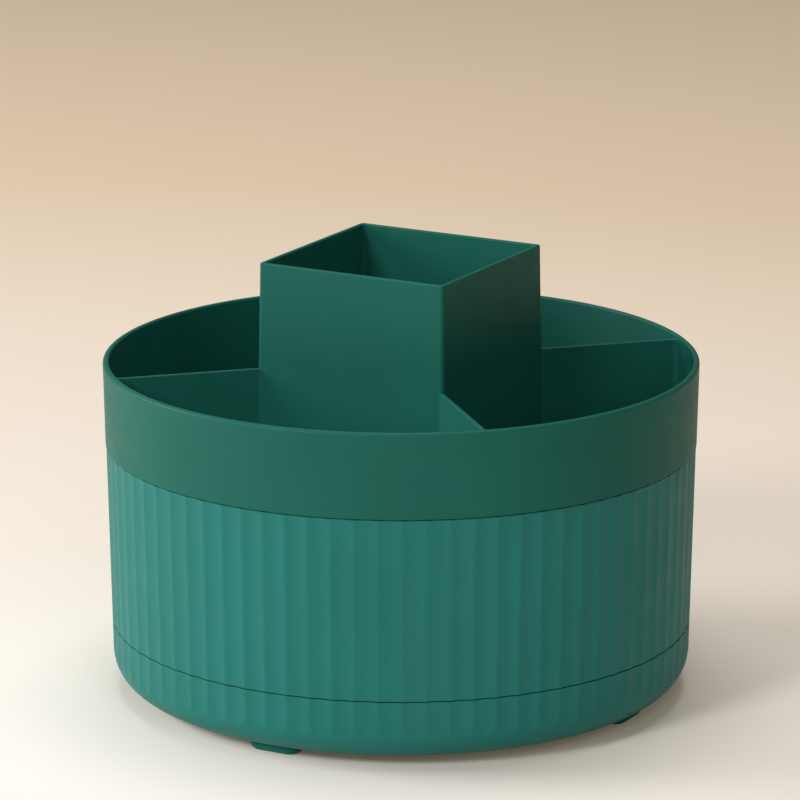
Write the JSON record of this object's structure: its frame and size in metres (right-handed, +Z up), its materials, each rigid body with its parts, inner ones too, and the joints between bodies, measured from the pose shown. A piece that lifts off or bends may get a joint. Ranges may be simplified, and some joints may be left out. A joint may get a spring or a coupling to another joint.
{
  "type": "rotating makeup organizer",
  "caption": "Round countertop cosmetics organizer: divided lift-out tray with a square brush tower in a fluted shell that spins on a footed ball-bearing base.",
  "frame": {"origin": "on the table, under the middle of the turntable", "axes": "+Z up along the turning axis, +X and +Y square to the tower's faces, -Y the front"},
  "size_m": [0.2099, 0.21, 0.1567],
  "materials": {
    "tray_green": "dark green satin moulded plastic",
    "body_green": "lighter blue-green satin moulded plastic",
    "foot_green": "soft green elastomer",
    "bearing_white": "off-white low-friction plastic",
    "zinc_steel": "zinc-plated steel",
    "ball_steel": "polished bearing steel"
  },
  "bodies": {
    "base": {"base_dish": "body_green", "foot_right": "foot_green", "foot_back": "foot_green", "foot_left": "foot_green", "foot_front": "foot_green", "lower_race": "bearing_white", "lower_race_screws": "zinc_steel", "spindle": "zinc_steel", "thrust_washer": "zinc_steel", "lock_nut": "zinc_steel"},
    "ball_ring": {"ball_cage": "bearing_white", "bearing_balls": "ball_steel"},
    "carousel": {"fluted_shell": "body_green", "turntable_plate": "body_green", "plate_screws": "zinc_steel", "upper_race": "bearing_white", "upper_race_screws": "zinc_steel", "pivot_bush": "bearing_white", "hub_cap": "body_green"},
    "lift_tray": {"tray": "tray_green"}
  },
  "joints": [
    {"name": "carousel_spin", "type": "hinge", "parent": "base", "child": "carousel", "pos_m": [0, 0, 0.02535], "axis": [0, 0, 1], "continuous": true},
    {"name": "ball_ring_roll", "type": "hinge", "parent": "base", "child": "ball_ring", "pos_m": [0, 0, 0.01537], "axis": [0, 0, 1], "continuous": true},
    {"name": "tray_lift", "type": "slide", "parent": "carousel", "child": "lift_tray", "axis": [0, 0, 1], "range_m": [0, 0.12]}
  ],
  "couplings": [
    {"joint": "ball_ring_roll", "follows": "carousel_spin", "ratio": 0.5}
  ]
}
